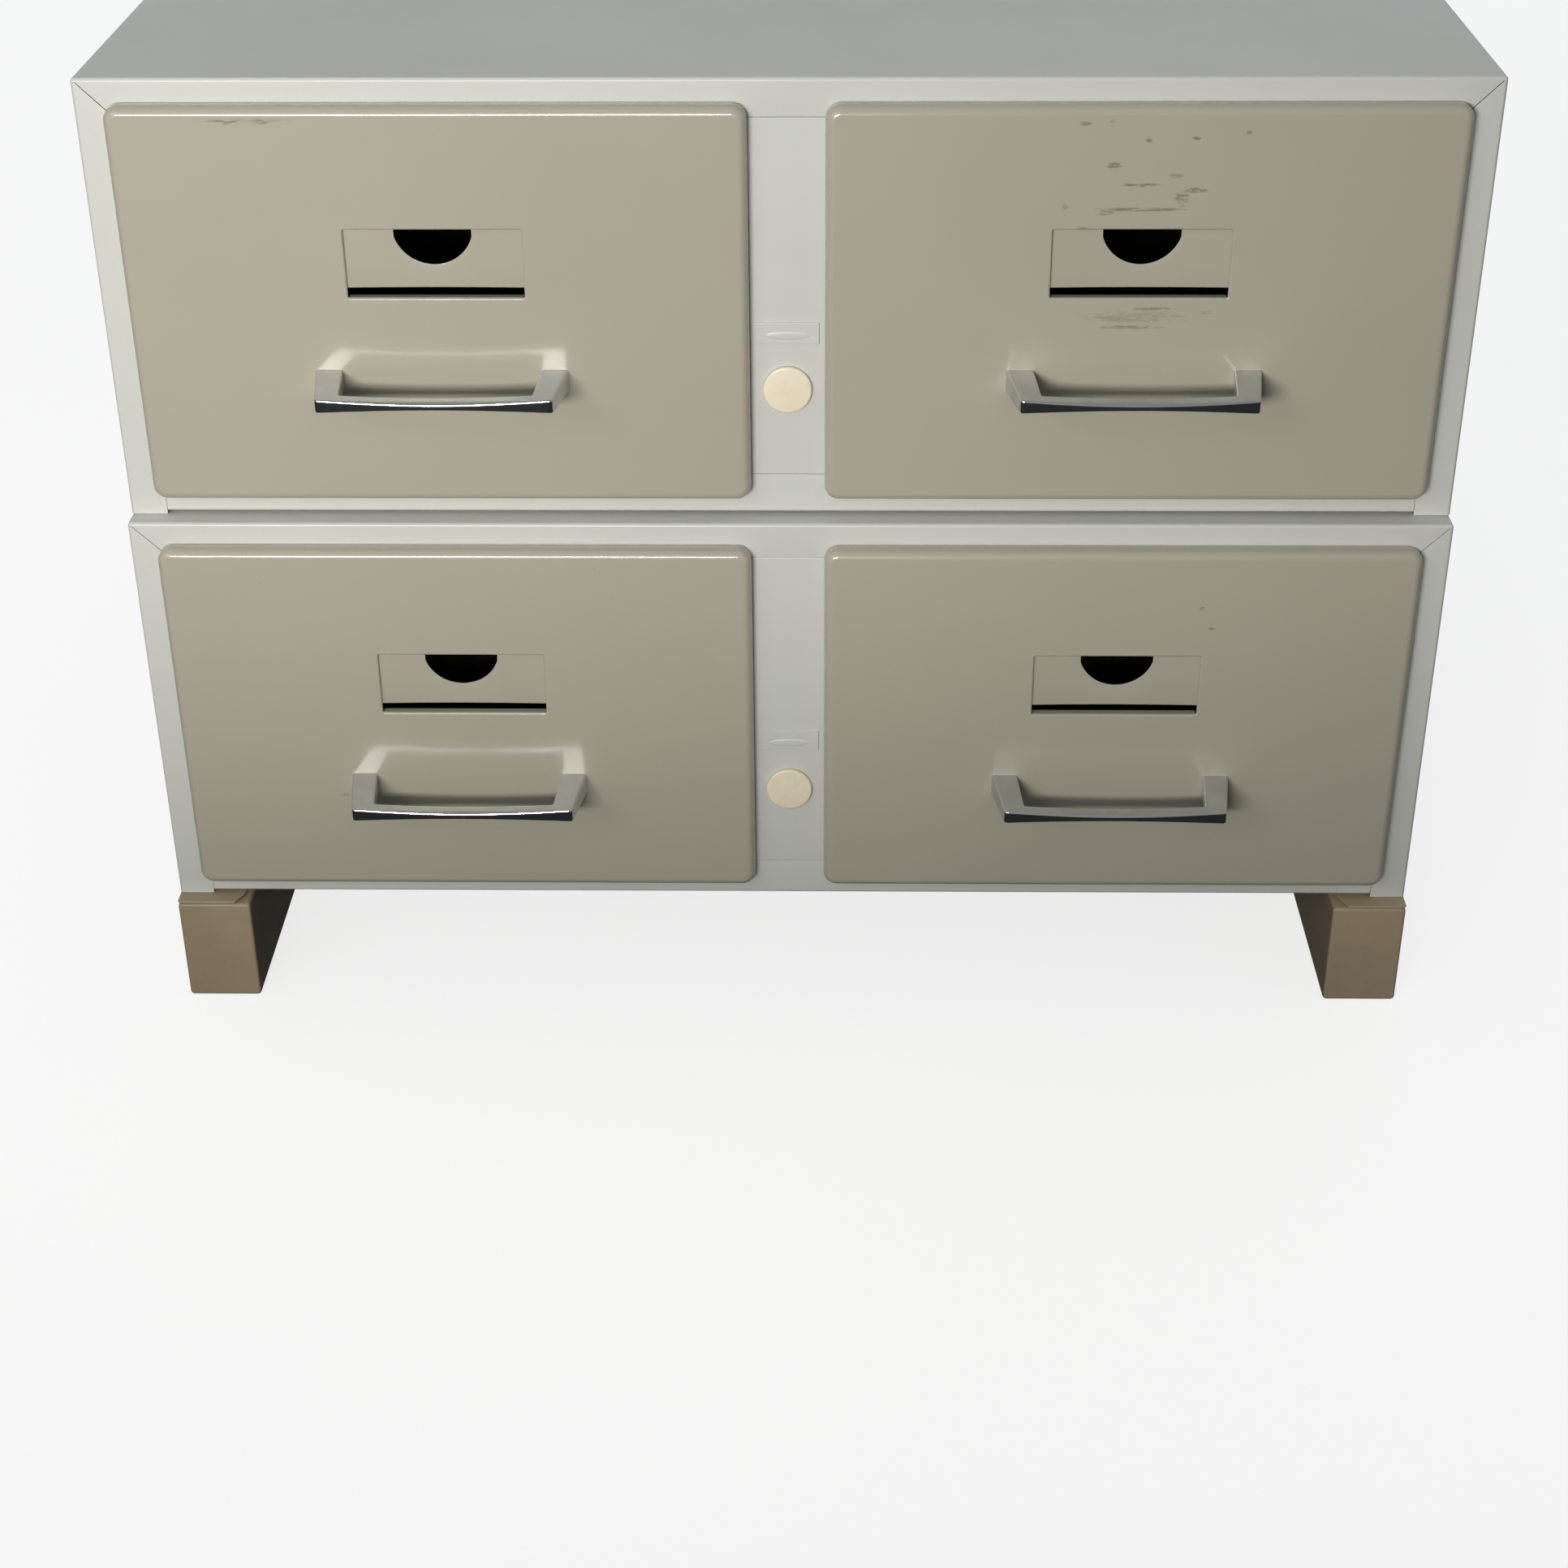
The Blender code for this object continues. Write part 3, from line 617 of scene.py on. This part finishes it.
def lock_hole_cap(module, material):
    """Moulded plug: flat head with a rounded rim, on a stem."""
    node_name = f"{module}_lock_hole_cap"
    low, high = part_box(node_name)
    centre, radius = (low + high) / 2, (high.x - low.x) / 2
    face = low.y
    stem = radius - CAP_STEM_INSET
    profile = [(stem, high.y), (stem, face + CAP_RISE), (radius - 0.0003, face + CAP_RISE)]
    profile += [(radius, face + CAP_RISE - 0.0003)]
    profile += [(radius - inset, y) for inset, y in rolled_edge(CAP_RIM, face + 0.00015, 7)]
    profile += [(radius - 0.0022, face + 0.00004), (radius - 0.0034, face)]
    profile += [(radius * 0.4, face), (0.00005, face)]
    rings = [outline_at(ellipse(r, r, 64), centre.x, y, centre.z) for r, y in profile]
    mesh = loft(node_name, rings, caps=True, angle=50)
    add_piece(f"{node_name}_moulding", mesh, material, CABINET, [node_name])


# ---------------------------------------------------------------- feet
def runner_foot(side_name, material):
    """Folded runner, open at the back, under a cover strip whose inner front corner is mitred away."""
    node_name = f"{side_name}_foot"
    side = SIDES[side_name]
    low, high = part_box(node_name)
    top = high.z - FOOT_COVER - FOOT_COVER_GAP
    x0, z0 = (low.x + high.x) / 2, (low.z + top) / 2
    half_width, half_height = (high.x - low.x) / 2, (top - low.z) / 2

    def ring(inset, y):
        radius = max(FOOT_CORNER - inset, 0.0004)
        return outline_at(rounded_rectangle(half_width - inset, half_height - inset, radius, 5), x0, y, z0)

    bm = bmesh.new()
    outside = [ring(0.0, high.y)] + [ring(inset, y) for inset, y in rolled_edge(FOOT_ROUNDING, low.y, 5)]
    outer = rows_of(bm, outside)
    inner = rows_of(bm, [ring(FOOT_SHEET, low.y + FOOT_SHEET), ring(FOOT_SHEET, high.y)])
    for rows in (outer, inner, [inner[-1], outer[0]]):
        skin(bm, rows)
    bm.faces.new(outer[-1])
    bm.faces.new(inner[0])
    bmesh.ops.recalc_face_normals(bm, faces=bm.faces)
    mesh = mesh_of(node_name, bm)
    obj = add_piece(f"{node_name}_runner", mesh, material, CABINET, [node_name])
    weighted_normals(obj)

    outer_x = side * max(abs(low.x), abs(high.x))
    inner_x = side * min(abs(low.x), abs(high.x))
    inwards = math.copysign(1, inner_x - outer_x)
    strip_x = inner_x - inwards * FOOT_COVER_INSET
    mitre_x = strip_x - inwards * FOOT_MITRE[0]
    outline = [(outer_x, low.y + 0.0015), (outer_x + inwards * 0.0008, low.y + 0.0002), (mitre_x, low.y),
               (strip_x, low.y + FOOT_MITRE[1]), (strip_x, high.y), (outer_x, high.y)]
    mesh = slab(node_name, outline, high.z - FOOT_COVER, high.z, 2)
    strip = add_piece(f"{node_name}_cover_strip", mesh, material, CABINET)
    bevel(strip, STRIP_EDGE, 3)


# ---------------------------------------------------------------- drawer pieces
def module_bottom(tag):
    """Height of the bottom of the module that a drawer belongs to."""
    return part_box(f"{tag.split('_')[0]}_casing")[0].z


def drawer_front(tag, material):
    """Pressed pan with rounded edges; its rings run round the sheet, from the back edge by the window."""
    node_name = f"{tag}_drawer_front"
    body = f"{tag}_drawer"
    low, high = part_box(node_name)
    centre, half = (low + high) / 2, (high - low) / 2
    face = low.y
    half_window = (WINDOW_SIZE[0] / 2, WINDOW_SIZE[1] / 2)
    window_z = module_bottom(tag) + WINDOW_BOTTOM + half_window[1]

    def pan(inset, y):
        outline = rounded_rectangle(half.x - inset, half.z - inset, FRONT_CORNER - inset)
        return outline_at(outline, centre.x, y, centre.z)

    def window(grow, y):
        outline = rounded_rectangle(half_window[0] + grow, half_window[1] + grow, WINDOW_CORNER + grow)
        return outline_at(outline, centre.x, y, window_z)

    inner_rounding = rolled_edge(FRONT_ROUNDING - SHEET, face + SHEET, 10, SHEET)
    rings = [pan(0.0, high.y)]
    rings += [pan(inset, y) for inset, y in rolled_edge(FRONT_ROUNDING, face, 10)]
    for a in quarter(4):
        rings.append(window(WINDOW_LIP * (1 - math.sin(a)), face + WINDOW_LIP * (1 - math.cos(a))))
    rings += [window(0.0, face + SHEET)]
    rings += [pan(inset, y) for inset, y in reversed(inner_rounding)]
    rings += [pan(SHEET, high.y)]
    mesh = loft(node_name, rings, closed_loop=True, angle=40)
    obj = add_piece(f"{tag}_front_pressing", mesh, material, body, [node_name])
    weighted_normals(obj)

    half_ledge, ledge_top = half_window[0] - 0.0003, window_z - half_window[1] + 0.0001
    ledge_low = ledge_top - LEDGE_THICKNESS
    ledge_front, ledge_back = face + SHEET / 2, face + SHEET + LEDGE_DEPTH
    outline = [(ledge_front, ledge_low), (ledge_front, ledge_top)]
    outline += [(ledge_back, ledge_top), (ledge_back, ledge_low)]
    mesh = slab(f"{tag}_ledge", outline, centre.x - half_ledge, centre.x + half_ledge, 0)
    add_piece(f"{tag}_label_ledge", mesh, material, body)


def label_plate(tag, material):
    """Plate behind the window, bowed back a little, with the half-round thumb notch in its top edge."""
    node_name = f"{tag}_label_plate"
    low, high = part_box(node_name)
    centre, half = (low + high) / 2, (high - low) / 2
    notch_z = high.z - NOTCH_BELOW_TOP
    notch_half = math.sqrt(NOTCH_RADIUS ** 2 - NOTCH_BELOW_TOP ** 2)
    steps = 40
    inside = [-NOTCH_RADIUS * math.cos(math.pi * i / steps) for i in range(steps + 1)]
    inside = [x for x in inside if abs(x) < notch_half]
    outside = [half.x - (half.x - notch_half) * i / 6 for i in range(7)]
    columns = [(-x, high.z) for x in outside]
    columns += [(x, notch_z - math.sqrt(max(NOTCH_RADIUS ** 2 - x * x, 0.0))) for x in inside]
    columns += [(x, high.z) for x in reversed(outside)]
    rings = []
    for x, top in columns:
        y = low.y + PLATE_BOW * (1 - (x / half.x) ** 2)
        rings.append([Vector((centre.x + x, y, low.z + (top - low.z) * i / 3)) for i in range(4)])
    mesh = loft(node_name, rings, closed_rings=False, outward=(0, -1, 0))
    body = f"{tag}_drawer"
    obj = add_piece(f"{tag}_label_backing", mesh, material, body, [node_name])
    solidify(obj, high.y - low.y)
    bevel(obj, 0.00028, 3, 60)


def rounded_section(outer, inner, z_low, z_high, radii, steps=6):
    """Upright rounded section from outer to inner (x, y), radii in the order of the turns below."""
    axis = (inner - outer).normalized()
    width = (inner - outer).length
    corners = ((0, z_high, 1, -1, 180, 90), (width, z_high, -1, -1, 90, 0),
               (width, z_low, -1, 1, 0, -90), (0, z_low, 1, 1, -90, -180))
    points = []
    for (s, z, ds, dz, start, end), radius in zip(corners, radii):
        for i in range(steps + 1):
            a = math.radians(start + (end - start) * i / steps)
            along = s + ds * radius + radius * math.cos(a)
            height = z + dz * radius + radius * math.sin(a)
            place = outer + axis * along
            points.append(Vector((place.x, place.y, height)))
    return points


def handle(tag, material):
    """Bridge handle: flat legs that lean inwards and thin out forwards, a grip thinnest in its middle."""
    node_name = f"{tag}_handle"
    low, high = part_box(node_name)
    centre_x, base_y = (low.x + high.x) / 2, high.y
    reach = base_y - low.y - HANDLE_BOW
    middle_z = (low.z + high.z) / 2
    inner_half = HANDLE_GRIP_HALF - HANDLE_LEG_AT_GRIP

    def outer_line(x):
        return Vector((x, base_y - reach - HANDLE_BOW * (1 - (x / HANDLE_GRIP_HALF) ** 2)))

    def inner_line(x):
        bow = HANDLE_INNER_BOW * (1 - (x / inner_half) ** 2)
        return Vector((x, outer_line(x).y + HANDLE_GRIP_DEPTH + bow))

    base_out = Vector((-HANDLE_BASE_HALF, base_y + HANDLE_SUNK))
    base_in = Vector((HANDLE_LEG - HANDLE_BASE_HALF, base_y + HANDLE_SUNK))
    corners = ((base_out, outer_line(-HANDLE_GRIP_HALF), outer_line(-HANDLE_GRIP_HALF + HANDLE_TURN)),
               (base_in, inner_line(-inner_half), inner_line(-inner_half + HANDLE_TURN)))
    stations = []
    for t in (0.0, 0.3, 0.6, 0.85, 0.93):
        stations.append([start.lerp(corner, t) for start, corner, _ in corners])
    for i in range(7):
        t = i / 6
        pair = []
        for start, corner, after in corners:
            before = corner + (start - corner).normalized() * HANDLE_TURN
            pair.append(before * (1 - t) ** 2 + corner * 2 * t * (1 - t) + after * t ** 2)
        stations.append(pair)
    spans = 28
    for i in range(1, spans + 1):
        u = i / spans - 1
        outer, inner = (HANDLE_GRIP_HALF - HANDLE_TURN) * u, (inner_half - HANDLE_TURN) * u
        stations.append([outer_line(outer), inner_line(inner)])
    for outer, inner in stations[-2::-1]:
        stations.append([Vector((-outer.x, outer.y)), Vector((-inner.x, inner.y))])
    shift = Vector((centre_x, 0.0))
    rings = []
    for outer, inner in stations:
        away = min(abs(outer.x) / HANDLE_GRIP_HALF, 1.0)
        grip = HANDLE_MID_THICKNESS + (HANDLE_END_THICKNESS - HANDLE_MID_THICKNESS) * away ** 2
        along_leg = max(0.0, (outer.y - base_y + reach) / reach)
        thick = (grip + (HANDLE_BASE_THICKNESS - grip) * along_leg) / 2
        upper_front = 0.0010 + 0.0008 * (1 - away ** 2) + 0.0002 * along_leg
        radii = (upper_front, 0.0009, 0.0009, 0.0005 + 0.0003 * (1 - away ** 2))
        z_low, z_high = middle_z - thick, middle_z + thick
        rings.append(rounded_section(outer + shift, inner + shift, z_low, z_high, radii))
    mesh = loft(node_name, rings, caps=True, angle=50)
    body = f"{tag}_drawer"
    obj = add_piece(f"{tag}_handle_casting", mesh, material, body, [node_name])
    weighted_normals(obj)


def tray(tag, material):
    """Open tray with a beaded rim and a gap in its front wall behind the label window."""
    node_name = f"{tag}_tray"
    body = f"{tag}_drawer"
    low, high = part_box(node_name)
    base = module_bottom(tag)
    x0 = (low.x + high.x) / 2
    half_gap = LABEL_OPENING[0] / 2
    front = low.y + BACKING_THICKNESS + BACKING_GAP
    half_length, middle_y = (high.y - front) / 2, (high.y + front) / 2
    floor, rim, gap_low = base + TRAY_BOTTOM, base + TRAY_TOP, base + LABEL_OPENING_BOTTOM
    corner_steps = 5
    gap_side = 3 * (corner_steps + 1)    # the two points of the gap come before the fourth corner

    def ring(outset, z):
        y_half = half_length + min(outset, 0.0)
        radius = max(TRAY_CORNER + outset, 0.0008)
        outline = rounded_rectangle(TRAY_HALF_WIDTH + outset, y_half, radius, corner_steps)
        outline[gap_side:gap_side] = [(-half_gap, -y_half), (half_gap, -y_half)]
        return [Vector((x0 + x, middle_y + y, z)) for x, y in outline]

    inner_heel = rolled_edge(TRAY_HEEL - TRAY_WALL, floor + TRAY_WALL, 4, TRAY_WALL)
    rings = [ring(-inset, z) for inset, z in reversed(rolled_edge(TRAY_HEEL, floor, 4))]
    gap_start = len(rings)
    rings.append(ring(0.0, gap_low))
    for i in range(13):
        a = math.radians(-60 + 240 * i / 12)
        outset = TRAY_BEAD * (1 + math.cos(a)) - TRAY_WALL
        rings.append(ring(outset, rim - TRAY_BEAD + TRAY_BEAD * math.sin(a)))
    gap_end = len(rings)
    rings.append(ring(-TRAY_WALL, gap_low))
    rings += [ring(-inset, z) for inset, z in inner_heel]
    bm = bmesh.new()
    rows = rows_of(bm, rings)
    for number, (a, b) in enumerate(zip(rows, rows[1:])):
        for i in range(len(a)):
            if i != gap_side or not gap_start <= number < gap_end:
                j = (i + 1) % len(a)
                bm.faces.new((a[i], a[j], b[j], b[i]))
    for i in (gap_side, gap_side + 1):
        bm.faces.new([row[i] for row in rows[gap_start:gap_end + 1]])
    outside, inside = (rows[number][gap_side:gap_side + 2] for number in (gap_start, gap_end))
    bm.faces.new((outside[0], outside[1], inside[1], inside[0]))
    bm.faces.new(rows[0])
    bm.faces.new(rows[-1])
    bmesh.ops.recalc_face_normals(bm, faces=bm.faces)
    mesh = mesh_of(node_name, bm, 40)
    obj = add_piece(f"{tag}_tray_pressing", mesh, material, body, [node_name])
    weighted_normals(obj)

    plate = rounded_rectangle((high.x - low.x) / 2, (high.z - low.z) / 2, BACKING_CORNER, 6)
    hole = rounded_rectangle(half_gap, LABEL_OPENING[1] / 2, LABEL_OPENING_CORNER, 6)
    plate_z, hole_z = (low.z + high.z) / 2, gap_low + LABEL_OPENING[1] / 2
    back = low.y + BACKING_THICKNESS
    rings = [outline_at(plate, x0, low.y, plate_z), outline_at(hole, x0, low.y, hole_z),
             outline_at(hole, x0, back, hole_z), outline_at(plate, x0, back, plate_z)]
    mesh = loft(f"{tag}_backing", rings, closed_loop=True)
    backing = add_piece(f"{tag}_front_backing", mesh, material, body)
    bevel(backing, 0.0002, 2)


def main():
    """Builds every piece, module by module and drawer by drawer."""
    frame_paint = enamel("frame_enamel", FRAME_COLOUR, 0.34, speck=0.25)
    # the feet's sideways faces keep 62 % of their colour as painted shade
    foot_paint = enamel("foot_enamel", FOOT_COLOUR, 0.42, grime=0.25, mottle=0.11, sides=0.62)
    inner_paint = enamel("inner_enamel", INNER_COLOUR, 0.45, grime=0.25, mottle=0.06)
    chrome, zinc, ivory = satin_chrome(), zinc_plate(), ivory_plastic()
    for side_name in SIDES:
        runner_foot(side_name, foot_paint)
    for module in MODULES:
        casing(module, frame_paint)
        bottom_panel(module, frame_paint)
        back_panel(module, frame_paint)
        back_screws(module, zinc)
        nameplate(module, frame_paint)
        lock_hole_cap(module, ivory)
        for part in ("centre_post", "partition"):
            dress(f"{module}_{part}", frame_paint, PANEL_EDGE)
        for side_name in SIDES:
            tag = f"{module}_{side_name}"
            paint = enamel(f"drawer_enamel_{tag}", DRAWER_COLOUR, 0.21, wear_marks(tag), coat=0.35)
            drawer_front(tag, paint)
            label_plate(tag, paint)
            handle(tag, chrome)
            tray(tag, inner_paint)
            for place in ("outer", "inner"):
                for kind in RAIL_KINDS:
                    dress(f"{tag}_{place}_{kind}_rail", zinc, RAIL_EDGE)


def dress(node_name, material, edge):
    """Gives a CAD node that stays in view its material and softened edges."""
    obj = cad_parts[node_name]
    for index in range(len(obj.material_slots)):
        obj.material_slots[index].material = material
    weld = obj.modifiers.new("weld", "WELD")
    weld.merge_threshold = 0.00001
    bevel(obj, edge, 2)


def wear_marks(tag):
    """Smudges on one drawer front as enamel takes them, measured from the middle of its label window."""
    low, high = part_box(f"{tag}_drawer_front")
    x0, z0 = (low.x + high.x) / 2, module_bottom(tag) + WINDOW_BOTTOM + WINDOW_SIZE[1] / 2
    marks = {
        "upper_right": [(-0.0264, 0.0608, 0.0040, 0.0014, 0.45), (-0.0155, 0.0617, 0.0020, 0.0012, 0.40),
                        (0.0000, 0.0536, 0.0018, 0.0012, 0.50), (0.0197, 0.0545, 0.0028, 0.0012, 0.60),
                        (0.0415, 0.0570, 0.0016, 0.0012, 0.45), (-0.0137, 0.0428, 0.0042, 0.0022, 0.55),
                        (-0.0027, 0.0346, 0.0125, 0.0011, 0.60), (0.0127, 0.0386, 0.0042, 0.0014, 0.35),
                        (0.0155, 0.0285, 0.0042, 0.0042, 0.50), (0.0210, 0.0323, 0.0072, 0.0016, 0.50),
                        (-0.0015, 0.0241, 0.0255, 0.0012, 0.55), (-0.0164, 0.0226, 0.0044, 0.0016, 0.45),
                        (-0.0337, 0.0253, 0.0020, 0.0018, 0.40), (-0.0255, 0.0158, 0.0034, 0.0011, 0.40),
                        (0.0073, -0.0200, 0.0130, 0.0011, 0.40), (-0.0020, -0.0238, 0.0300, 0.0036, 0.25),
                        (-0.0027, -0.0283, 0.0180, 0.0011, 0.45), (0.0295, -0.0215, 0.0050, 0.0013, 0.35)],
        "lower_right": [(0.0370, 0.0400, 0.0020, 0.0012, 0.70), (0.0420, 0.0300, 0.0024, 0.0010, 0.70)],
        "upper_left": [(-0.0830, 0.0617, 0.0066, 0.0013, 0.55), (-0.0690, 0.0617, 0.0048, 0.0013, 0.55),
                       (-0.0760, 0.0624, 0.0280, 0.0010, 0.30)],
        "lower_left": [(-0.0600, -0.0600, 0.0040, 0.0014, 0.25)],
    }
    return [(x0 + x, z0 + z, hw, hh, dark) for x, z, hw, hh, dark in marks[tag]]


# ---------------------------------------------------------------- stage, light and camera
def add_floor():
    """Plain pale floor. It glows and lights nothing, so it stays pale where the flag cuts the key off."""
    bpy.ops.mesh.primitive_plane_add(size=FLOOR_SIZE, location=(0, 0, 0))
    floor = bpy.context.object
    floor.name = "floor"
    material, _, shader = new_material("pale_floor")
    shader.inputs["Base Color"].default_value = (0.30, 0.30, 0.30, 1.0)
    shader.inputs["Roughness"].default_value = 0.9
    shader.inputs["Emission Color"].default_value = (1.0, 1.0, 1.0, 1.0)
    shader.inputs["Emission Strength"].default_value = 0.78
    floor.data.materials.append(material)
    floor.visible_diffuse = False
    floor.visible_glossy = False


def add_flag():
    """Screen in front of the key light: its soft edge darkens the lower module towards the floor."""
    half, down = FLAG_HALF_WIDTH, -FLAG_HEIGHT
    mesh = bpy.data.meshes.new("light_flag")
    mesh.from_pydata([(-half, 0, down), (half, 0, down), (half, 0, 0), (-half, 0, 0)], [], [(0, 1, 2, 3)])
    flag = bpy.data.objects.new("light_flag", mesh)
    bpy.context.scene.collection.objects.link(flag)
    flag.location = FLAG_TOP
    flag.visible_camera = False
    flag.visible_diffuse = False
    flag.visible_glossy = False
    flag.visible_transmission = False


def add_area(name, place, target, size, power, colour):
    """Rectangular light that looks at its target."""
    data = bpy.data.lights.new(name, "AREA")
    data.shape = "RECTANGLE"
    data.size, data.size_y = size
    data.energy = power
    data.color = colour
    data.spread = math.radians(180)
    obj = bpy.data.objects.new(name, data)
    bpy.context.scene.collection.objects.link(obj)
    obj.location = place
    obj.rotation_mode = "QUATERNION"
    obj.rotation_quaternion = (Vector(target) - Vector(place)).to_track_quat("-Z", "Y")


def add_light():
    """Wide low key, a weak fill from the upper left, and a room that is dark below and light behind."""
    world = bpy.data.worlds.new("studio")
    bpy.context.scene.world = world
    world.use_nodes = True
    tree = world.node_tree
    direction = tree.nodes.new("ShaderNodeTexCoord").outputs["Generated"]
    height = parts_of(tree, direction)[2]
    behind = node(tree, "VectorMath", {"operation": "DOT_PRODUCT"}, _0=direction, _1=(0.0, 0.87, 0.49))
    above_floor = ramp(tree, height, -0.3, 0.15, 0.02, 0.24)
    from_behind = ramp(tree, behind.outputs["Value"], 0.4, 0.95, 0.0, 0.45)
    strength = maths(tree, "ADD", above_floor, from_behind)
    background = tree.nodes["Background"]
    background.inputs["Color"].default_value = (0.96, 0.98, 1.0, 1.0)
    tree.links.new(strength, background.inputs["Strength"])
    add_area("key", KEY_PLACE, KEY_AIM, KEY_SIZE, KEY_POWER, (1.0, 0.985, 0.95))
    add_area("fill", FILL_PLACE, FILL_AIM, FILL_SIZE, FILL_POWER, (1.0, 0.99, 0.97))


def add_camera():
    """Camera above the middle of the front, looking down."""
    pitch, yaw, roll = (math.radians(a) for a in (CAMERA_PITCH, CAMERA_YAW, CAMERA_ROLL))
    ahead = Vector((math.sin(yaw) * math.cos(pitch), math.cos(yaw) * math.cos(pitch), -math.sin(pitch)))
    level = Vector((math.cos(yaw), -math.sin(yaw), 0.0))
    upright = level.cross(ahead)
    right = level * math.cos(roll) + upright * math.sin(roll)
    up = upright * math.cos(roll) - level * math.sin(roll)
    data = bpy.data.cameras.new("camera")
    data.lens = CAMERA_LENS
    data.sensor_width = 36.0
    data.clip_start, data.clip_end = 0.05, 60.0
    obj = bpy.data.objects.new("camera", data)
    bpy.context.scene.collection.objects.link(obj)
    turn = Matrix((right, up, -ahead)).transposed().to_4x4()
    obj.matrix_world = Matrix.Translation(CAMERA_PLACE) @ turn
    bpy.context.scene.camera = obj


main()
add_floor()
add_flag()
add_light()
add_camera()
bpy.context.scene.view_settings.view_transform = "Standard"
bpy.context.view_layer.update()
